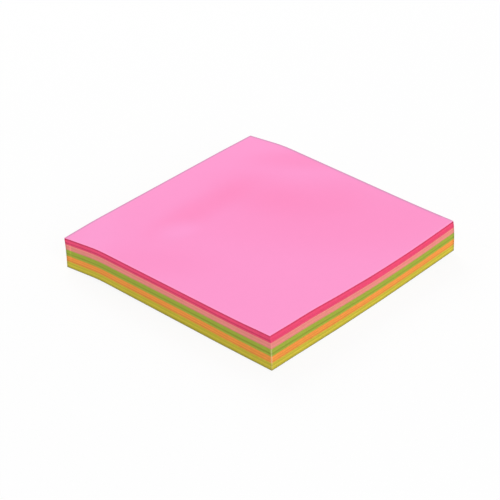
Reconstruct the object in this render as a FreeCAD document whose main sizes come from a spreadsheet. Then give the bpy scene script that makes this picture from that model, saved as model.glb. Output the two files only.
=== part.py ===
import FreeCAD, Part
import Sketcher
import os

# Square pad of repositionable notes lying on a table: five blocks of coloured
# sheets on a thin release sheet, all held together along one adhesive strip.
# X runs across the sheets, +Y points to the adhesive end, Z is up and the table
# is at 0. The origin is on the table under the middle of the pad.

# Every size that can be set by itself, in millimetres.
SIZES = {
    # a single note
    "sheet_width": 76.0,
    "sheet_length": 76.0,
    # thickness of each block when pressed, from the table up
    "backing_thickness": 0.12,
    "yellow_thickness": 1.89,
    "orange_thickness": 1.76,
    "green_thickness": 1.87,
    "coral_thickness": 1.58,
    "pink_thickness": 1.86,
    # every note has its adhesive on its back, so this parts each block from the next
    "adhesive_coat": 0.02,
    # middle of the free end, which lies flat on the table
    "land_left": 10.0,
    "land_right": 4.0,
    "land_length": 14.0,
    # the wings beside the land curl up from the table: lift of the free corners,
    # lift of the long sides where the land ends, and how the curl grows outwards
    "left_corner_lift": 0.62,
    "right_corner_lift": 0.80,
    "left_side_lift": 0.46,
    "right_side_lift": 0.70,
    "curl_power": 1.26,
    # air between the sheets where the free end is fanned, from left to right: at
    # the corner, in the middle of the wing and at the edge of the land
    "left_corner_fan": 1.13,
    "left_wing_fan": 1.35,
    "left_land_fan": 0.85,
    "right_land_fan": 0.30,
    "right_wing_fan": 0.02,
    "right_corner_fan": 0.28,
    # adhesive strip: it slopes from a low ridge down to the table
    "strip_width": 13.0,
    "ridge_height": 1.20,
    "ridge_swell": 0.64,
    "bend_radius": 55.0,
    # extra thickness at the cut end of the strip: in its middle and at its corners
    "strip_swell": 0.58,
    "left_strip_swell": 0.18,
    "right_strip_swell": 0.39,
    # sheets of one length slip past each other in the bend: how far at the two ends
    # of the topmost sheet, and how the slip grows upwards
    "free_end_setback": 0.60,
    "strip_end_overhang": 0.45,
    "slip_power": 3.0,
}

# Blocks from the table up: name of the piece and of its thickness.
BLOCKS = [
    ("backing_sheet", "backing_thickness"),
    ("yellow_sheets", "yellow_thickness"),
    ("orange_sheets", "orange_thickness"),
    ("green_sheets", "green_thickness"),
    ("coral_sheets", "coral_thickness"),
    ("pink_sheets", "pink_thickness"),
]

# Each wing is curved, so it has this many strips of paper between side views.
WING_STRIPS = 6

HALF_WIDTH = "Sizes.sheet_width / 2"

# The overhang counts in the pad's whole length, which is centred on the origin.
HALF_LENGTH = "(Sizes.sheet_length + Sizes.strip_end_overhang) / 2"


def mixed(first, second, part):
    """Value that lies a part of the way between two sizes, as an expression."""
    return "(Sizes." + first + " * " + str(1 - part) + " + Sizes." + second + " * " + str(part) + ")"


def side_view(side, reach):
    """Expressions of the side view at a reach from the land, 0, to the corner, 1.

    They are its place across the sheet, the lift of the free end, the lift where
    the land ends, the air in the free part and the swell of the strip's cut end.
    """
    land_edge = "Sizes.land_" + side
    across = "(" + land_edge + " + (" + HALF_WIDTH + " - " + land_edge + ") * " + str(reach) + ")"
    curl = " * " + str(reach) + " ^ Sizes.curl_power"
    outward = 2 * reach - 1
    if outward < 0:
        fan = mixed(side + "_wing_fan", side + "_land_fan", -outward)
        strip = "Sizes.strip_swell"
    else:
        fan = mixed(side + "_wing_fan", side + "_corner_fan", outward)
        strip = mixed("strip_swell", side + "_strip_swell", outward)
    return {
        "across": "-" + across if side == "left" else across,
        "end_lift": "Sizes." + side + "_corner_lift" + curl,
        "side_lift": "Sizes." + side + "_side_lift" + curl,
        "fan": fan,
        "strip": strip,
    }


def side_views():
    """Side views from the left long side to the right one."""
    reaches = [strip / WING_STRIPS for strip in range(WING_STRIPS + 1)]
    left_wing = [side_view("left", reach) for reach in reversed(reaches)]
    right_wing = [side_view("right", reach) for reach in reaches]
    return left_wing + right_wing


def thickness_of(blocks):
    """Sum of the pressed thicknesses of some blocks, as an expression."""
    return "(" + " + ".join(["0"] + ["Sizes." + size for name, size in blocks]) + ")"


def outline_points(view, below, coat="0"):
    """Corners of one surface between blocks in a side view, as expressions.

    The surface has the blocks listed in below and a coat of adhesive under it. Its
    corners run from the free end over the end of the land and the ridge to the cut
    end of the strip. The release sheet is a single sheet, so air and slip begin
    above it. The slip grows towards the top, where less paper weighs on the sheets.
    """
    height = thickness_of(below) + " + " + coat
    share = "(" + thickness_of(below[1:]) + " / " + thickness_of(BLOCKS[1:]) + ")"
    slip = share + " ^ Sizes.slip_power"
    fan = share + " * " + view["fan"]
    free_end = (
        "-" + HALF_LENGTH + " + Sizes.free_end_setback * " + slip,
        view["end_lift"] + " + " + height + " + " + fan,
    )
    land_end = (
        "-" + HALF_LENGTH + " + Sizes.land_length",
        view["side_lift"] + " + " + height + " + " + fan,
    )
    ridge = (
        HALF_LENGTH + " - Sizes.strip_width",
        "Sizes.ridge_height + " + height + " + " + share + " * Sizes.ridge_swell",
    )
    strip_end = (
        HALF_LENGTH + " - Sizes.strip_end_overhang * (1 - " + slip + ")",
        height + " + " + share + " * " + view["strip"],
    )
    return [free_end, land_end, ridge, strip_end]


def value_of(sheet, expression):
    """Present value of an expression, to draw a sketch in its final form."""
    return float(sheet.evalExpression(expression))


def place_vertex(sketch, geometry, end, place, name):
    """Hold one end of a line at a place along and above the table."""
    along, up = place
    for kind, expression, direction in (("DistanceX", along, "along"), ("DistanceY", up, "up")):
        now = value_of(sketch.Document.Sizes, expression)
        size = Sketcher.Constraint(kind, -1, 1, geometry, end, now)
        size.Name = name + "_" + direction
        sketch.addConstraint(size)
        sketch.setExpression("Constraints." + size.Name, expression)


def draw_surface(sketch, places, name):
    """Draw one long edge of a side view: the land, the rise, the bend and the strip.

    Returns its first and last line, which the cut ends of the block join.
    """
    sheet = sketch.Document.Sizes
    corners = [
        FreeCAD.Vector(value_of(sheet, along), value_of(sheet, up), 0)
        for along, up in places
    ]
    free_end, land_end, ridge, strip_end = corners
    rise = (ridge - land_end).normalize()
    fall = (strip_end - ridge).normalize()
    radius = sheet.bend_radius
    tangent_length = radius * abs(rise.cross(fall).z) / (1 + rise.dot(fall))
    bend_start = ridge - rise * tangent_length
    bend_end = ridge + fall * tangent_length
    centre = bend_start + FreeCAD.Vector(rise.y, -rise.x, 0) * radius
    circle = Part.Circle(centre, FreeCAD.Vector(0, 0, 1), radius)
    arc = Part.ArcOfCircle(circle, circle.parameter(bend_end), circle.parameter(bend_start))

    land_line = sketch.addGeometry(Part.LineSegment(free_end, land_end), False)
    rise_line = sketch.addGeometry(Part.LineSegment(land_end, bend_start), False)
    bend = sketch.addGeometry(arc, False)
    strip_line = sketch.addGeometry(Part.LineSegment(bend_end, strip_end), False)
    ridge_point = sketch.addGeometry(Part.Point(ridge), True)

    sketch.addConstraint(Sketcher.Constraint("Coincident", land_line, 2, rise_line, 1))
    sketch.addConstraint(Sketcher.Constraint("Tangent", rise_line, 2, bend, 2))
    sketch.addConstraint(Sketcher.Constraint("Tangent", bend, 1, strip_line, 1))
    sketch.addConstraint(Sketcher.Constraint("PointOnObject", ridge_point, 1, rise_line))
    sketch.addConstraint(Sketcher.Constraint("PointOnObject", ridge_point, 1, strip_line))
    bend_size = Sketcher.Constraint("Radius", bend, radius)
    bend_size.Name = name + "_bend"
    sketch.addConstraint(bend_size)
    sketch.setExpression("Constraints." + bend_size.Name, "Sizes.bend_radius")

    place_vertex(sketch, land_line, 1, places[0], name + "_free_end")
    place_vertex(sketch, land_line, 2, places[1], name + "_land_end")
    place_vertex(sketch, ridge_point, 1, places[2], name + "_ridge")
    place_vertex(sketch, strip_line, 2, places[3], name + "_strip_end")
    return land_line, strip_line


def close_end(sketch, upper, lower, end):
    """Close one cut end of the block between its upper and its lower edge."""
    top = sketch.getPoint(upper, end)
    bottom = sketch.getPoint(lower, end)
    line = sketch.addGeometry(Part.LineSegment(top, bottom), False)
    sketch.addConstraint(Sketcher.Constraint("Coincident", line, 1, upper, end))
    sketch.addConstraint(Sketcher.Constraint("Coincident", line, 2, lower, end))


def side_view_sketch(body, number, view, below, block):
    """Outline of one block in one side view, as a closed sketch."""
    sketch = body.newObject("Sketcher::SketchObject", "Side_view")
    sketch.Label = body.Label + "_side_view_" + str(number)
    plane = [p for p in body.Origin.OriginFeatures if p.Role == "YZ_Plane"][0]
    sketch.AttachmentSupport = [(plane, "")]
    sketch.MapMode = "FlatFace"
    sketch.setExpression("AttachmentOffset.Base.z", view["across"])
    coat = "Sizes.adhesive_coat" if below else "0"
    lower_first, lower_last = draw_surface(sketch, outline_points(view, below, coat), "lower")
    upper_first, upper_last = draw_surface(sketch, outline_points(view, below + [block]), "upper")
    close_end(sketch, upper_first, lower_first, 1)
    close_end(sketch, upper_last, lower_last, 2)
    return sketch


def make_block(doc, number):
    """One block of sheets, ruled between its side views from left to right."""
    below = BLOCKS[:number]
    block = BLOCKS[number]
    body = doc.addObject("PartDesign::Body", "Block")
    body.Label = block[0]
    sketches = [
        side_view_sketch(body, place + 1, view, below, block)
        for place, view in enumerate(side_views())
    ]
    doc.recompute()
    loft = body.newObject("PartDesign::AdditiveLoft", "Loft")
    loft.Label = block[0] + "_loft"
    loft.Profile = sketches[0]
    loft.Sections = sketches[1:]
    loft.Ruled = True
    body.Tip = loft
    return body


def make_sizes(doc):
    """Sheet of named sizes, one to a row."""
    sheet = doc.addObject("Spreadsheet::Sheet", "Sizes")
    for row, (name, size) in enumerate(SIZES.items(), start=1):
        sheet.set("A" + str(row), name)
        sheet.set("B" + str(row), str(size))
        sheet.setAlias("B" + str(row), name)
    return sheet


def check(doc, bodies):
    """Stop before anything is written if a feature failed or a solid is bad."""
    for item in doc.Objects:
        if "Invalid" in item.State or "Error" in item.State:
            raise RuntimeError(item.Label + " failed: " + ", ".join(item.State))
    for body in bodies:
        shape = body.Shape
        if shape.isNull() or not shape.isValid() or len(shape.Solids) != 1:
            raise RuntimeError(body.Label + " is not one valid solid")


doc = FreeCAD.newDocument("NotePad")
make_sizes(doc)
doc.recompute()
bodies = [make_block(doc, number) for number in range(len(BLOCKS))]
doc.recompute()
check(doc, bodies)

os.makedirs("parts", exist_ok=True)
for body in bodies:
    body.Shape.exportStep("parts/" + body.Label + ".step")
    box = body.Shape.BoundBox
    print(body.Label, "volume", round(body.Shape.Volume, 2),
          "from", round(box.ZMin, 3), "to", round(box.ZMax, 3))
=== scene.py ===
import functools
import math
import random

import bmesh
import bpy
from mathutils import Matrix, Vector


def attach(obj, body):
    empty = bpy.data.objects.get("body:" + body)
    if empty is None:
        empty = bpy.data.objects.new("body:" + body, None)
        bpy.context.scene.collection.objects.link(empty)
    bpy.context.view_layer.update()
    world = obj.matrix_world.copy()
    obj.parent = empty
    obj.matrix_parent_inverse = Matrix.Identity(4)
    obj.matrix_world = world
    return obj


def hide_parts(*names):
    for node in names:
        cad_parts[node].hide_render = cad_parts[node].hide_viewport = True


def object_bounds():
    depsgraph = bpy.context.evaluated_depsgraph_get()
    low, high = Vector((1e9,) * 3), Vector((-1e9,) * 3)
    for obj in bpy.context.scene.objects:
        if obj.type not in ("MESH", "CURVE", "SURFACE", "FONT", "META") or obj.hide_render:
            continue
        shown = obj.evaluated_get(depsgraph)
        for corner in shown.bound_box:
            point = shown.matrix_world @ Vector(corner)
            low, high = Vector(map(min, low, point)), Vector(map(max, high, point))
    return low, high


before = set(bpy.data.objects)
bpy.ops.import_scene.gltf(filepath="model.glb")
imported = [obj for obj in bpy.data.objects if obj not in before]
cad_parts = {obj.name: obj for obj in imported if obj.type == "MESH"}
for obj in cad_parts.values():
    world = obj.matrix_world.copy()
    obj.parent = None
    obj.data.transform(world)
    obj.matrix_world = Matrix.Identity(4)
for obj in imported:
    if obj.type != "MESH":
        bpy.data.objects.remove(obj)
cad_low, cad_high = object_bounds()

# Pad of removable notes: every note is a sheet of its own, stacked in blocks of
# one colour. X runs across the sheets, +Y points to the adhesive end, Z is up.

MM = 0.001
SEED = 7
WHITE = (1, 1, 1, 1)

# Outline of the pad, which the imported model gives, and the decimals of a metre to
# which a place across it is rounded, so that a column of the sheets is worked out once.
HALF_WIDTH = cad_high.x
HALF_LENGTH = cad_high.y
PLACE_DECIMALS = 6

# Sheets: how many to a block, the grid of each and its narrow outermost cells, the
# share of its height that the paper fills, the scatter of the cut, and the thickness
# of the release sheet.
SHEETS_IN_BLOCK = 20
COLUMNS = 28
ROWS = 46
RIM = 0.90 * MM
CLOSE_FIT = 0.985
CUT_SCATTER = 0.012 * MM
RELEASE_THICKNESS = 0.12 * MM

# Middle of the free end, which lies flat, and the curl of the wings beside it: how high
# their corners lie, and their sides where the flat part ends.
LAND_LEFT = 10.0 * MM
LAND_RIGHT = 4.0 * MM
LAND_LENGTH = 14.0 * MM
LAND_BEND = 8.0 * MM
CORNER_LIFT = {"left": 0.62 * MM, "right": 0.80 * MM}
SIDE_LIFT = {"left": 0.46 * MM, "right": 0.70 * MM}
CURL_POWER = 1.26

# Air in the fanned free end and swell of the strip's cut end: place across and size.
FAN = tuple((x * MM, air * MM) for x, air in (
    (-38.0, 1.13), (-24.0, 1.35), (-10.0, 0.85), (4.0, 0.30), (21.0, 0.02), (38.0, 0.28)))
STRIP_SWELL = tuple((x * MM, swell * MM) for x, swell in (
    (-38.0, 0.18), (-24.0, 0.58), (21.0, 0.58), (38.0, 0.39)))

# Ridge beside the adhesive strip, and how the sheets slip past each other over it.
STRIP_WIDTH = 13.0 * MM
RIDGE_HEIGHT = 1.20 * MM
RIDGE_SWELL = 0.64 * MM
BEND_RADIUS = 55.0 * MM
FREE_END_SETBACK = 0.60 * MM
STRIP_END_OVERHANG = 0.45 * MM
SLIP_POWER = 3

# Extra flare of the near corner: height, reach across and along, and the share of
# the air that stays where it is.
FLARE = 0.30 * MM
FLARE_REACH = (10.0 * MM, 13.0 * MM)
FLARE_REST = 0.33

# Soft waves of the uppermost sheets past the ridge: middle, half width across,
# half length, drift to the right for each step towards the free end, and height. They
# die out near the long sides.
WAVES = tuple(tuple(value * MM for value in wave[:4]) + (wave[4], wave[5] * MM) for wave in (
    (-24.0, 14.0, 11.0, 15.0, 0.30, 0.16),
    (15.0, 9.0, 11.0, 17.0, 0.50, 0.24),
))
WAVE_POWER = 6
WAVE_EDGE = 10.0 * MM

# Looser paper low in the middle of the left side: how far the sheets rise there,
# the middle and half length of the stretch, and its reach into the pad.
LOOSE_RISE = 0.22 * MM
LOOSE_MIDDLE = -8.0 * MM
LOOSE_HALF_LENGTH = 28.0 * MM
LOOSE_REACH = 14.0 * MM

# Blocks from the table up: the imported piece that each stands for, its colour slot, its
# pressed height, the colours of its sheets and of their cut edges, and the numbers of
# the sheets, counted from the foot of the block, whose cut edges are lighter, darkened
# as painted shade, or painted shade on the left side only: painted shade under the
# first sheet, at the foot of a block and of the pad, and in the open gap of the fan.
# Arris says how strong the painted highlight on the near corner is. The cut
# edges are deeper in colour than the sheets, because light goes from sheet to sheet.
BLOCKS = [
    {"node": "yellow_sheets", "slot": "yellow_paper", "pressed": 1.89 * MM,
     "face": (0.93, 0.90, 0.30), "edge": (0.835, 0.780, 0.261),
     "bright": (8, 9, 10, 11), "painted_shade": (0, 1, 2), "left_painted_shade": (), "arris": 0.3},
    {"node": "orange_sheets", "slot": "orange_paper", "pressed": 1.76 * MM,
     "face": (0.99, 0.70, 0.42), "edge": (0.955, 0.614, 0.281),
     "bright": (), "painted_shade": (), "left_painted_shade": (), "arris": 0.6},
    {"node": "green_sheets", "slot": "green_paper", "pressed": 1.87 * MM,
     "face": (0.72, 0.87, 0.42), "edge": (0.629, 0.693, 0.252),
     "bright": (), "painted_shade": (), "left_painted_shade": (), "arris": 0.5},
    {"node": "coral_sheets", "slot": "coral_paper", "pressed": 1.58 * MM,
     "face": (0.99, 0.68, 0.68), "edge": (0.928, 0.570, 0.530),
     "bright": (), "painted_shade": (), "left_painted_shade": (), "arris": 0.15},
    {"node": "pink_sheets", "slot": "pink_paper", "pressed": 1.86 * MM,
     "face": (0.99, 0.60, 0.81), "edge": (0.950, 0.308, 0.482),
     "bright": (10, 11, 12, 13, 14), "painted_shade": (0, 17, 18), "left_painted_shade": (4, 5, 6), "arris": 0.0},
]
# Release sheet: the colour of its face, and a dark colour on its cut edge that is painted contact shade
# where the pad meets the table.
RELEASE_FACE = (0.80, 0.78, 0.60)
RELEASE_EDGE_SHADE = (0.45, 0.44, 0.16)
PRESSED_HEIGHT = RELEASE_THICKNESS + sum(block["pressed"] for block in BLOCKS)

# Tones of the sheets in painted shade and of the bright sheets, where the others are
# around a half and each is a mean over so many neighbours.
PAINTED_SHADE_TONE = 0.0
BRIGHT = 0.65
NEIGHBOURS = 3

# Uneven air between the sheets: the least gap, beside a random share to this power.
LEAST_GAP = 0.15
GAP_POWER = 3

# In the top block, the sheets just under the first one stand back, and the fan
# opens widest over one sheet near its foot.
STANDING_BACK = {17: 0.06 * MM, 18: 0.12 * MM}
OPEN_SHEET = 5
OPEN_SHARE = 0.30

# Topmost sheet, with painted light and shade: its pink where it is most lit and most
# shaded, its rims with a painted highlight on the near sides and painted shade on the
# far sides, the share of the shaded pink all over, and what soft painted shades add to
# that share, where a negative share is painted light: middle and half size in mm, turn
# in degrees and share.
TOP_LIT_PINK = (0.99, 0.608, 0.818)
TOP_SHADED_PINK = (0.99, 0.548, 0.754)
TOP_NEAR_RIM_HIGHLIGHT = (1.0, 0.625, 0.82)
TOP_FAR_RIM_SHADE = (0.80, 0.56, 0.70)
TOP_SHADE_SHARE = 0.15
PAINTED_SHADES = (
    ((-5.0, 19.0), (31.0, 9.0), 0.0, 0.45),
    ((14.0, 15.0), (18.0, 23.0), 10.0, 0.38),
    ((24.0, -2.0), (17.0, 25.0), 65.0, 0.25),
    ((20.0, -14.0), (30.0, 80.0), 40.0, 0.36),
    ((36.0, 15.0), (9.0, 28.0), 40.0, 0.43),
    ((-34.0, 11.0), (14.0, 32.0), 40.0, 0.22),
    ((-24.0, 39.0), (80.0, 11.0), 40.0, -0.15),
    ((-16.0, 16.0), (7.0, 10.0), 75.0, -0.41),
)

# Half height of a shade in mm, so large that the height of the paper doesn't count.
SHADE_DEPTH = 1000.0

# Painted highlight along the ridge that a nick of the knife left on the left side:
# middle and half size in mm, and gain.
KNIFE_MARK_HIGHLIGHT = ((-38.0, 36.0, 6.0), (2.0, 0.5, 5.0), 0.22)


def linear(colour):
    """An sRGB colour as the shader nodes take it."""
    return tuple(c / 12.92 if c <= 0.04045 else ((c + 0.055) / 1.055) ** 2.4 for c in colour)


def smooth_step(share):
    """A share from 0 to 1 that starts and ends gently."""
    return share * share * (3 - 2 * share)


def smooth_value(stops, x):
    """Size on a smooth line through stops, with no hump between two level stops."""
    x = min(max(x, stops[0][0]), stops[-1][0])
    secants = [(b[1] - a[1]) / (b[0] - a[0]) for a, b in zip(stops, stops[1:])]
    slopes = [secants[0]]
    for before, after in zip(secants, secants[1:]):
        level = before * after <= 0
        slopes.append(0.0 if level else 2 * before * after / (before + after))
    slopes.append(secants[-1])
    i = max(k for k in range(len(stops) - 1) if stops[k][0] <= x)
    width = stops[i + 1][0] - stops[i][0]
    u = (x - stops[i][0]) / width
    between = stops[i][1] + (stops[i + 1][1] - stops[i][1]) * smooth_step(u)
    return between + width * (slopes[i] * u * (1 - u) ** 2 - slopes[i + 1] * u * u * (1 - u))


@functools.lru_cache(maxsize=None)
def lie_across(x):
    """Lift of the free end and of the side, air in the fan and swell of the strip."""
    side, land_edge = ("left", LAND_LEFT) if x < 0 else ("right", LAND_RIGHT)
    reach = max(0.0, (abs(x) - land_edge) / (HALF_WIDTH - land_edge))
    curl = min(reach, 1.0) ** CURL_POWER
    return (
        CORNER_LIFT[side] * curl,
        SIDE_LIFT[side] * curl,
        smooth_value(FAN, x),
        smooth_value(STRIP_SWELL, x),
    )


def share_at(level):
    """How far up the stack of notes a level of pressed paper is, from 0 to 1."""
    return max(0.0, (level - RELEASE_THICKNESS) / (PRESSED_HEIGHT - RELEASE_THICKNESS))


def ends_at(level):
    """Places of the free end and of the cut end of the strip at a level."""
    slip = share_at(level) ** SLIP_POWER
    free_end = -HALF_LENGTH + FREE_END_SETBACK * slip
    strip_end = HALF_LENGTH - STRIP_END_OVERHANG * (1 - slip)
    return free_end, strip_end


def eased_corner(y, place, reach, before, after):
    """How far a rounded corner departs from the straight that leads to it."""
    if y <= place - reach:
        return 0.0
    if y >= place + reach:
        return (after - before) * (y - place)
    return (after - before) * (y - place + reach) ** 2 / (4 * reach)


def waves_at(x, y):
    """Height of the soft waves that only the uppermost sheets follow."""
    ridge = HALF_LENGTH - STRIP_WIDTH
    if y >= ridge:
        return 0.0
    held = min(1.0, (ridge - y) / STRIP_WIDTH) ** 2
    edge = min(1.0, (HALF_WIDTH - abs(x)) / WAVE_EDGE)
    rise = 0.0
    for middle_x, middle_y, across, along, drift, height in WAVES:
        off_y = y - middle_y
        off_x = x - middle_x + drift * off_y
        rise += height * math.exp(-(off_x / across) ** 2 - (off_y / along) ** 2)
    return rise * held * edge


def flare_at(x, from_free_end, air):
    """Extra opening of the fan at the near corner."""
    reach_x, reach_y = FLARE_REACH
    near = max(0.0, 1 - math.hypot((x + HALF_WIDTH) / reach_x, from_free_end / reach_y))
    return FLARE * (air - FLARE_REST) * smooth_step(near)


def looseness_at(x, y, share):
    """Rise of the sheets where the left side is loose low in the stack."""
    along = max(0.0, 1 - ((y - LOOSE_MIDDLE) / LOOSE_HALF_LENGTH) ** 2) ** 2
    across = smooth_step(max(0.0, 1 - (x + HALF_WIDTH) / LOOSE_REACH))
    return LOOSE_RISE * along * across * math.sin(math.pi * math.sqrt(share))


def height_of_paper(x, y, level, air):
    """Height over the table of a sheet that has so much pressed paper and air under it."""
    end_lift, side_lift, fan, strip_swell = lie_across(round(x, PLACE_DECIMALS))
    share = share_at(level)
    free_end, strip_end = ends_at(level)
    land_end = -HALF_LENGTH + LAND_LENGTH
    ridge = HALF_LENGTH - STRIP_WIDTH
    z_free = end_lift + level + fan * air
    z_land = side_lift + level + fan * air
    z_ridge = RIDGE_HEIGHT + level + RIDGE_SWELL * share
    z_strip = level + strip_swell * share
    land_slope = (z_land - z_free) / (land_end - free_end)
    rise_slope = (z_ridge - z_land) / (ridge - land_end)
    strip_slope = (z_strip - z_ridge) / (strip_end - ridge)
    bend_reach = BEND_RADIUS * (rise_slope - strip_slope) / 2
    z = z_free + land_slope * (y - free_end)
    z += eased_corner(y, land_end, LAND_BEND, land_slope, rise_slope)
    z += eased_corner(y, ridge, bend_reach, rise_slope, strip_slope)
    z += flare_at(x, y - free_end, air)
    z += looseness_at(x, y, share)
    return z + waves_at(x, y) * share ** WAVE_POWER


def grid_place(unit, steps, half):
    """Place of a grid line whose unit place is -1 to 1, with narrow outermost cells."""
    step = round((unit + 1) / 2 * steps)
    if step in (0, steps):
        return math.copysign(half, unit)
    return (half - RIM) * (2 * (step - 1) / (steps - 2) - 1)


# Materials of a piece, in the order of its slots.
PAPER, CUT_EDGE, TOP_PAPER = range(3)

# A face looks along an axis if its normal has more than this along it.
FACING = 0.5


def add_sheet(bm, sheet, layers):
    """One sheet of paper: a grid laid on the stack, thickened, with its cut edges."""
    made = bmesh.ops.create_grid(bm, x_segments=COLUMNS, y_segments=ROWS, size=1.0)
    under = made["verts"]
    faces = list(dict.fromkeys(face for vert in under for face in vert.link_faces))
    raised = bmesh.ops.extrude_face_region(bm, geom=faces, use_keep_orig=True)["geom"]
    upper = [item for item in raised if isinstance(item, bmesh.types.BMVert)]
    free_end, strip_end = ends_at(sheet["level"])
    half_length = (strip_end - free_end) / 2
    for verts, rise in ((under, 0.0), (upper, sheet["thickness"])):
        for vert in verts:
            at_side = abs(vert.co.x) > 1 - 1 / COLUMNS
            at_end = abs(vert.co.y) > 1 - 1 / ROWS
            vert[layers["rim"]] = float(at_side or at_end)
            near = vert.co.x < 0 and vert.co.y < 0
            vert[layers["arris"]] = float(at_side and at_end and near)
            vert[layers["outer_arris"]] = float(at_side and at_end and not near)
            vert[layers["far"]] = float(vert.co.x + vert.co.y > 1 / ROWS)
            x = grid_place(vert.co.x, COLUMNS, HALF_WIDTH - sheet["inset"])
            y = free_end + half_length + grid_place(vert.co.y, ROWS, half_length - sheet["inset"])
            z = height_of_paper(x, y, sheet["level"], sheet["air"]) + rise
            vert.co = Vector((x, y, z)) + sheet["shift"]
    for face in {face for vert in under + upper for face in vert.link_faces}:
        face.normal_update()
        is_cut = abs(face.normal.z) < FACING
        face.material_index = CUT_EDGE if is_cut else sheet["paper"]
        face.smooth = not is_cut
        face[layers["tone"]] = sheet["left_tone" if face.normal.x < -FACING else "tone"]
    for edge in {edge for vert in under + upper for edge in vert.link_edges}:
        edge.smooth = len({face.material_index for face in edge.link_faces}) == 1


def make_stack(name, node, sheets, materials):
    """A piece made of sheets, with the materials of its papers and cut edges."""
    bm = bmesh.new()
    layers = {
        "rim": bm.verts.layers.float.new("rim"),
        "arris": bm.verts.layers.float.new("arris"),
        "outer_arris": bm.verts.layers.float.new("outer_arris"),
        "far": bm.verts.layers.float.new("far"),
        "tone": bm.faces.layers.float.new("tone"),
    }
    for sheet in sheets:
        add_sheet(bm, sheet, layers)
    bmesh.ops.recalc_face_normals(bm, faces=bm.faces)
    mesh = bpy.data.meshes.new(name)
    bm.to_mesh(mesh)
    bm.free()
    for material in materials:
        mesh.materials.append(material)
    piece = bpy.data.objects.new(name, mesh)
    bpy.context.scene.collection.objects.link(piece)
    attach(piece, "root")
    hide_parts(node)


def air_under(dice, open_sheet):
    """Running share of a block's air under each of its sheets, with uneven gaps."""
    gaps = [LEAST_GAP + dice.random() ** GAP_POWER for number in range(SHEETS_IN_BLOCK)]
    if open_sheet is not None:
        gaps[open_sheet] = sum(gaps) * OPEN_SHARE / (1 - OPEN_SHARE)
    whole = sum(gaps)
    return [sum(gaps[:number + 1]) / whole for number in range(SHEETS_IN_BLOCK)]


def tones_of(block, dice):
    """Tones of the cut edges from 0, painted shade, to 1, bright, all round and on the left."""
    raw = [dice.random() for number in range(SHEETS_IN_BLOCK + NEIGHBOURS - 1)]
    tones = [
        sum(raw[number:number + NEIGHBOURS]) / NEIGHBOURS
        for number in range(SHEETS_IN_BLOCK)
    ]
    for number in range(SHEETS_IN_BLOCK):
        if number in block["painted_shade"]:
            tones[number] = PAINTED_SHADE_TONE
        if number in block["bright"]:
            tones[number] = BRIGHT
    left = [PAINTED_SHADE_TONE if number in block["left_painted_shade"] else tone for number, tone in enumerate(tones)]
    return tones, left


def make_block(block, level, dice, materials):
    """A block of notes of one colour, whose foot is at a level of pressed paper."""
    is_top = block is BLOCKS[-1]
    thickness = block["pressed"] / SHEETS_IN_BLOCK
    low_air = share_at(level)
    high_air = share_at(level + block["pressed"])
    running = air_under(dice, OPEN_SHEET if is_top else None)
    tones, left_tones = tones_of(block, dice)
    sheets = []
    for number in range(SHEETS_IN_BLOCK):
        topmost = is_top and number == SHEETS_IN_BLOCK - 1
        shift = [dice.uniform(-CUT_SCATTER, CUT_SCATTER) for axis in "xy"]
        sheets.append({
            "level": level + number * thickness,
            "thickness": thickness * CLOSE_FIT,
            "air": low_air + (high_air - low_air) * running[number],
            "tone": tones[number],
            "left_tone": left_tones[number],
            "paper": TOP_PAPER if topmost else PAPER,
            "inset": STANDING_BACK.get(number, 0.0) if is_top else 0.0,
            "shift": Vector((*shift, 0.0)),
        })
    name = block["node"].replace("_sheets", "_notes")
    make_stack(name, block["node"], sheets, materials)


def make_release_sheet(materials):
    """The single sheet that covers the lowest adhesive."""
    sheet = {
        "level": 0.0,
        "thickness": RELEASE_THICKNESS * CLOSE_FIT,
        "air": 0.0,
        # Painted contact shade on its cut edge, all round.
        "tone": PAINTED_SHADE_TONE,
        "left_tone": PAINTED_SHADE_TONE,
        "paper": PAPER,
        "inset": 0.0,
        "shift": Vector(),
    }
    make_stack("release_sheet", "backing_sheet", [sheet], materials)


def new_group(name, inputs, outputs):
    """An empty shader node group with its sockets."""
    group = bpy.data.node_groups.new(name, "ShaderNodeTree")
    for socket, kind, value in inputs:
        made = group.interface.new_socket(socket, in_out="INPUT", socket_type=kind)
        made.default_value = value
    for socket, kind in outputs:
        group.interface.new_socket(socket, in_out="OUTPUT", socket_type=kind)
    return group, group.nodes.new("NodeGroupInput"), group.nodes.new("NodeGroupOutput")


def attribute_of(tree, name):
    """Value of one of the mesh's own attributes."""
    node = tree.nodes.new("ShaderNodeAttribute")
    node.attribute_name = name
    return node.outputs["Fac"]


def noise_of(tree, squeeze, scale, detail):
    """Noise on the piece's own coordinates, squeezed along each axis."""
    coordinates = tree.nodes.new("ShaderNodeTexCoord")
    mapping = tree.nodes.new("ShaderNodeMapping")
    mapping.inputs["Scale"].default_value = squeeze
    noise = tree.nodes.new("ShaderNodeTexNoise")
    noise.inputs["Scale"].default_value = scale
    noise.inputs["Detail"].default_value = detail
    tree.links.new(coordinates.outputs["Object"], mapping.inputs["Vector"])
    tree.links.new(mapping.outputs["Vector"], noise.inputs["Vector"])
    return noise.outputs["Fac"]


def math_of(tree, operation, first, second):
    """Result of a maths node whose inputs are sockets or numbers."""
    node = tree.nodes.new("ShaderNodeMath")
    node.operation = operation
    for socket, value in zip(node.inputs, (first, second)):
        if isinstance(value, (int, float)):
            socket.default_value = value
        else:
            tree.links.new(value, socket)
    return node.outputs["Value"]


def swing_of(tree, value, contrast):
    """A value around a half, turned into a gain around zero."""
    return math_of(tree, "MULTIPLY", math_of(tree, "SUBTRACT", value, 0.5), contrast)


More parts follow.
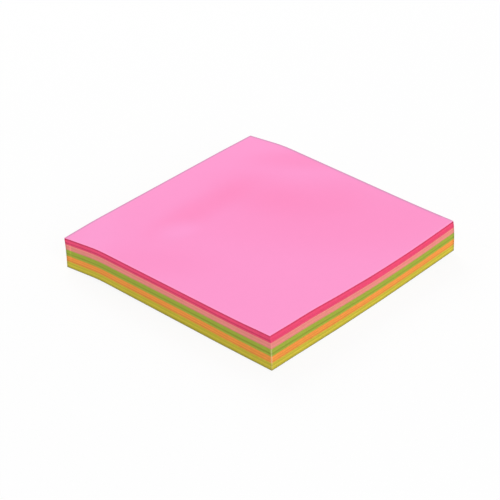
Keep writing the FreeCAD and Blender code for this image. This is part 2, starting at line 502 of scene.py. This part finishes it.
def shaded(tree, colour, gains):
    """A colour brightened by the sum of some gains around zero."""
    amount = 1.0
    for gain in gains:
        amount = math_of(tree, "ADD", gain, amount)
    scale = tree.nodes.new("ShaderNodeVectorMath")
    scale.operation = "SCALE"
    tree.links.new(colour, scale.inputs[0])
    tree.links.new(amount, scale.inputs["Scale"])
    return scale.outputs["Vector"]


def mixed(tree, factor, first, second):
    """Mix of two colours, each a socket or an sRGB colour."""
    mix = tree.nodes.new("ShaderNodeMix")
    mix.data_type = "RGBA"
    tree.links.new(factor, mix.inputs["Factor"])
    colours = [socket for socket in mix.inputs if socket.type == "RGBA"]
    for socket, value in zip(colours, (first, second)):
        if isinstance(value, tuple):
            socket.default_value = (*linear(value), 1)
        else:
            tree.links.new(value, socket)
    return next(socket for socket in mix.outputs if socket.type == "RGBA")


# Matt surface of the paper: least roughness and its spread, mirror-like share, and
# how strong and high its tooth is.
ROUGHNESS = 0.80
ROUGHNESS_SPREAD = 0.10
SPECULAR = 0.2
TOOTH_STRENGTH = 0.2
TOOTH_HEIGHT = 0.02 * MM


def roughness_of(tree, value):
    """Roughness of paper, which a value from 0 to 1 varies."""
    return math_of(tree, "ADD", math_of(tree, "MULTIPLY", value, ROUGHNESS_SPREAD), ROUGHNESS)


# What the effects for paper put out.
PAPER_LOOKS = [
    ("Color", "NodeSocketColor"),
    ("Roughness", "NodeSocketFloat"),
    ("Height", "NodeSocketFloat"),
]

# Noises of paper: squeeze along each axis, scale and detail.
CLOUDS = ((1, 1, 1), 260.0, 3.0)
TOOTH = ((1, 1, 1), 5200.0, 4.0)
STREAKS = ((1, 1, 40), 90.0, 2.0)
KNIFE_LINES = ((1, 1, 0.06), 900.0, 3.0)

# Contrast of the clouds on a face, and of sheets, streaks and marks on a cut edge.
CLOUD_CONTRAST = 0.02
SHEET_CONTRAST = 0.5
STREAK_CONTRAST = 0.25
MARK_CONTRAST = 0.10


def make_fibre_group():
    """Face of a sheet: faint cloudiness, a fine tooth and a rim of another colour, which paints light
    and shade at the rims.
    """
    group, start, end = new_group(
        "paper_fibre",
        [("Color", "NodeSocketColor", WHITE),
         ("Rim color", "NodeSocketColor", WHITE),
         ("Cloud contrast", "NodeSocketFloat", CLOUD_CONTRAST)],
        PAPER_LOOKS,
    )
    rimmed = mixed(group, attribute_of(group, "rim"), start.outputs["Color"], start.outputs["Rim color"])
    clouds = noise_of(group, *CLOUDS)
    cloudy = shaded(group, rimmed, (swing_of(group, clouds, start.outputs["Cloud contrast"]),))
    group.links.new(cloudy, end.inputs["Color"])
    group.links.new(roughness_of(group, clouds), end.inputs["Roughness"])
    group.links.new(noise_of(group, *TOOTH), end.inputs["Height"])
    return group


# Painted highlight on the upright near corner, where it catches the light: how narrow,
# and its colour.
ARRIS_SHARPNESS = 4.0
ARRIS_HIGHLIGHT = (1.0, 0.95, 0.75)

# Gain of the other upright corners, which are darker.
OUTER_ARRIS_GAIN = -0.32


def make_cut_group():
    """Cut edge of a stack: sheets of uneven tone, some in painted shade, knife marks with a painted
    highlight along one, darker other corners and a painted highlight on the near corner.
    """
    group, start, end = new_group(
        "cut_edge",
        [("Color", "NodeSocketColor", WHITE),
         ("Sheet contrast", "NodeSocketFloat", SHEET_CONTRAST),
         ("Streak contrast", "NodeSocketFloat", STREAK_CONTRAST),
         ("Mark contrast", "NodeSocketFloat", MARK_CONTRAST),
         ("Arris highlight", "NodeSocketFloat", 0.0),
         ("Knife mark highlight", "NodeSocketFloat", 0.0)],
        PAPER_LOOKS,
    )
    marks = noise_of(group, *KNIFE_LINES)
    arris = math_of(group, "POWER", attribute_of(group, "arris"), ARRIS_SHARPNESS)
    gains = (
        swing_of(group, attribute_of(group, "tone"), start.outputs["Sheet contrast"]),
        swing_of(group, noise_of(group, *STREAKS), start.outputs["Streak contrast"]),
        swing_of(group, marks, start.outputs["Mark contrast"]),
        math_of(group, "MULTIPLY", attribute_of(group, "outer_arris"), OUTER_ARRIS_GAIN),
        start.outputs["Knife mark highlight"],
    )
    lit = math_of(group, "MULTIPLY", arris, start.outputs["Arris highlight"])
    highlighted = mixed(group, lit, shaded(group, start.outputs["Color"], gains), ARRIS_HIGHLIGHT)
    group.links.new(highlighted, end.inputs["Color"])
    group.links.new(roughness_of(group, marks), end.inputs["Roughness"])
    group.links.new(marks, end.inputs["Height"])
    return group


def make_patch_group():
    """Soft oval patch, 1 in its middle and 0 outside."""
    group, start, end = new_group(
        "soft_patch",
        [("Middle", "NodeSocketVector", (0, 0, 0)),
         ("Turn", "NodeSocketVector", (0, 0, 0)),
         ("Half size", "NodeSocketVector", (1, 1, 1))],
        [("Mask", "NodeSocketFloat")],
    )
    coordinates = group.nodes.new("ShaderNodeTexCoord")
    mapping = group.nodes.new("ShaderNodeMapping")
    mapping.vector_type = "TEXTURE"
    length = group.nodes.new("ShaderNodeVectorMath")
    length.operation = "LENGTH"
    fade = group.nodes.new("ShaderNodeMapRange")
    fade.interpolation_type = "SMOOTHERSTEP"
    fade.inputs["To Min"].default_value = 1.0
    fade.inputs["To Max"].default_value = 0.0
    group.links.new(coordinates.outputs["Object"], mapping.inputs["Vector"])
    group.links.new(start.outputs["Middle"], mapping.inputs["Location"])
    group.links.new(start.outputs["Turn"], mapping.inputs["Rotation"])
    group.links.new(start.outputs["Half size"], mapping.inputs["Scale"])
    group.links.new(mapping.outputs["Vector"], length.inputs[0])
    group.links.new(length.outputs["Value"], fade.inputs["Value"])
    group.links.new(fade.outputs["Result"], end.inputs["Mask"])
    return group


def patch_of(tree, patch_group, middle, half_size, turn, gain):
    """Strength of one soft patch, given in mm and degrees."""
    patch = tree.nodes.new("ShaderNodeGroup")
    patch.node_tree = patch_group
    patch.inputs["Middle"].default_value = [place * MM for place in middle]
    patch.inputs["Turn"].default_value = (0.0, 0.0, math.radians(turn))
    patch.inputs["Half size"].default_value = [size * MM for size in half_size]
    return math_of(tree, "MULTIPLY", patch.outputs["Mask"], gain)


def paper_material(name, effect_group):
    """Matt paper with a shared effect for its looks: the material and the effect."""
    material = bpy.data.materials.new(name)
    material.use_nodes = True
    tree = material.node_tree
    shader = tree.nodes["Principled BSDF"]
    shader.inputs["Specular IOR Level"].default_value = SPECULAR
    effect = tree.nodes.new("ShaderNodeGroup")
    effect.node_tree = effect_group
    tree.links.new(effect.outputs["Color"], shader.inputs["Base Color"])
    tree.links.new(effect.outputs["Roughness"], shader.inputs["Roughness"])
    bump = tree.nodes.new("ShaderNodeBump")
    bump.inputs["Strength"].default_value = TOOTH_STRENGTH
    bump.inputs["Distance"].default_value = TOOTH_HEIGHT
    tree.links.new(effect.outputs["Height"], bump.inputs["Height"])
    tree.links.new(bump.outputs["Normal"], shader.inputs["Normal"])
    return material, effect


def face_material(name, colour, rim_colour, fibre_group):
    """Face of a sheet, deeper in colour at the rim, where other sheets cover it: partly the deeper
    colour that light takes through the sheets, partly painted shade in the gaps between them.
    """
    material, effect = paper_material(name, fibre_group)
    effect.inputs["Color"].default_value = (*linear(colour), 1)
    effect.inputs["Rim color"].default_value = (*linear(rim_colour), 1)
    return material


def edge_material(name, colour, arris_highlight, cut_group, patch_group):
    """Cut edges of a stack of sheets."""
    material, effect = paper_material(name, cut_group)
    effect.inputs["Color"].default_value = (*linear(colour), 1)
    effect.inputs["Arris highlight"].default_value = arris_highlight
    # Painted highlight along the knife's ridge on the left side.
    middle, half_size, gain = KNIFE_MARK_HIGHLIGHT
    mark = patch_of(material.node_tree, patch_group, middle, half_size, 0.0, gain)
    material.node_tree.links.new(mark, effect.inputs["Knife mark highlight"])
    return material


def top_material(fibre_group, patch_group):
    """Topmost sheet, with painted light and shade: paler in painted light over the adhesive strip,
    deeper in painted shade where it dips.
    """
    material, effect = paper_material("topmost_pink_paper_with_painted_shade", fibre_group)
    tree = material.node_tree
    shade_share = TOP_SHADE_SHARE
    # Soft patches of painted shade, and of painted light where the share is negative.
    for middle, half_size, turn, gain in PAINTED_SHADES:
        shade = patch_of(tree, patch_group, (*middle, 0.0), (*half_size, SHADE_DEPTH), turn, gain)
        shade_share = math_of(tree, "ADD", shade, shade_share)
    tree.links.new(mixed(tree, shade_share, TOP_LIT_PINK, TOP_SHADED_PINK), effect.inputs["Color"])
    # Painted highlight on the near rims and painted shade on the far rims.
    rim = mixed(tree, attribute_of(tree, "far"), TOP_NEAR_RIM_HIGHLIGHT, TOP_FAR_RIM_SHADE)
    tree.links.new(rim, effect.inputs["Rim color"])
    return material


def make_pad():
    """Release sheet and the five blocks of notes on it."""
    dice = random.Random(SEED)
    fibre = make_fibre_group()
    cut = make_cut_group()
    patch = make_patch_group()
    make_release_sheet([
        face_material("release_paper", RELEASE_FACE, RELEASE_FACE, fibre),
        edge_material("release_paper_edge_shade", RELEASE_EDGE_SHADE, 0.0, cut, patch),
    ])
    level = RELEASE_THICKNESS
    for block in BLOCKS:
        materials = [
            face_material(block["slot"], block["face"], block["edge"], fibre),
            edge_material(block["slot"] + "_edge", block["edge"], block["arris"], cut, patch),
        ]
        if block is BLOCKS[-1]:
            materials.append(top_material(fibre, patch))
        make_block(block, level, dice, materials)
        level += block["pressed"]


# Studio: size and white of the floor, its gap under the pad and the share of it that
# glows, and the light from all round.
FLOOR_SIZE = 3.0
FLOOR_GAP = 0.02 * MM
FLOOR_WHITE = 0.92
FLOOR_GLOW = 0.90
AMBIENT = 0.60

# Softboxes: place, size and power.
BACK_SOFTBOX = ((0.35, 0.62, 0.55), 0.5, 3.4)
FRONT_SOFTBOX = ((-0.27, -0.73, 0.46), 0.5, 3.0)

# Camera at the photograph's angle, in degrees, metres and millimetres of lens, and the
# nearest that it sees.
AZIMUTH = -47.206
ELEVATION = 32.240
ROLL = -0.901
DISTANCE = 0.575124
LENS = 149.22
AIM = Vector((-1.372, 2.637, 2.681)) * MM
NEAREST = 0.01


def seen_directly(tree):
    """1 where the camera looks straight or through gloss or glass, else 0."""
    path = tree.nodes.new("ShaderNodeLightPath")
    seen = math_of(tree, "MAXIMUM", path.outputs["Is Camera Ray"], path.outputs["Is Glossy Ray"])
    return math_of(tree, "MAXIMUM", seen, path.outputs["Is Transmission Ray"])


def make_world():
    """White background, with plain soft light from all round."""
    world = bpy.data.worlds.new("studio")
    bpy.context.scene.world = world
    world.use_nodes = True
    tree = world.node_tree
    ambient = tree.nodes["Background"]
    ambient.inputs["Color"].default_value = WHITE
    ambient.inputs["Strength"].default_value = AMBIENT
    backdrop = tree.nodes.new("ShaderNodeBackground")
    backdrop.inputs["Color"].default_value = WHITE
    mix = tree.nodes.new("ShaderNodeMixShader")
    tree.links.new(seen_directly(tree), mix.inputs["Fac"])
    tree.links.new(ambient.outputs["Background"], mix.inputs[1])
    tree.links.new(backdrop.outputs["Background"], mix.inputs[2])
    tree.links.new(mix.outputs["Shader"], tree.nodes["World Output"].inputs["Surface"])


def make_floor_material():
    """White that keeps a faint shadow of the pad."""
    material = bpy.data.materials.new("floor_white")
    material.use_nodes = True
    tree = material.node_tree
    shader = tree.nodes["Principled BSDF"]
    shader.inputs["Base Color"].default_value = (FLOOR_WHITE, FLOOR_WHITE, FLOOR_WHITE, 1)
    shader.inputs["Roughness"].default_value = 1.0
    shader.inputs["Specular IOR Level"].default_value = 0.0
    glow = tree.nodes.new("ShaderNodeEmission")
    mix = tree.nodes.new("ShaderNodeMixShader")
    tree.links.new(math_of(tree, "MULTIPLY", seen_directly(tree), FLOOR_GLOW), mix.inputs["Fac"])
    tree.links.new(shader.outputs["BSDF"], mix.inputs[1])
    tree.links.new(glow.outputs["Emission"], mix.inputs[2])
    tree.links.new(mix.outputs["Shader"], tree.nodes["Material Output"].inputs["Surface"])
    return material


def make_floor():
    """Plain floor under the pad."""
    bm = bmesh.new()
    bmesh.ops.create_grid(bm, x_segments=1, y_segments=1, size=FLOOR_SIZE / 2)
    bmesh.ops.translate(bm, verts=bm.verts, vec=(0, 0, cad_low.z - FLOOR_GAP))
    mesh = bpy.data.meshes.new("floor")
    bm.to_mesh(mesh)
    bm.free()
    mesh.materials.append(make_floor_material())
    floor = bpy.data.objects.new("floor", mesh)
    bpy.context.scene.collection.objects.link(floor)


def add_softbox(name, place, size, power):
    """A square area lamp aimed at the pad."""
    lamp = bpy.data.lights.new(name, "AREA")
    lamp.shape = "SQUARE"
    lamp.size = size
    lamp.energy = power
    box = bpy.data.objects.new(name, lamp)
    box.location = place
    box.rotation_euler = (-Vector(place)).to_track_quat("-Z", "Y").to_euler()
    bpy.context.scene.collection.objects.link(box)


def make_camera():
    """Camera that sees the pad as the photograph does."""
    azimuth, elevation, roll = (math.radians(angle) for angle in (AZIMUTH, ELEVATION, ROLL))
    back = Vector((
        math.sin(azimuth) * math.cos(elevation),
        -math.cos(azimuth) * math.cos(elevation),
        math.sin(elevation),
    ))
    level = Vector((0, 0, 1)).cross(back).normalized()
    upright = back.cross(level)
    right = level * math.cos(roll) + upright * math.sin(roll)
    up = upright * math.cos(roll) - level * math.sin(roll)
    turn = Matrix((right, up, back)).transposed().to_4x4()
    data = bpy.data.cameras.new("camera")
    data.lens = LENS
    data.clip_start = NEAREST
    camera = bpy.data.objects.new("camera", data)
    camera.matrix_world = Matrix.Translation(AIM + back * DISTANCE) @ turn
    bpy.context.scene.collection.objects.link(camera)
    bpy.context.scene.camera = camera


make_camera()
make_world()
make_floor()
add_softbox("back_softbox", *BACK_SOFTBOX)
add_softbox("front_softbox", *FRONT_SOFTBOX)
make_pad()
bpy.context.scene.view_settings.view_transform = "Standard"
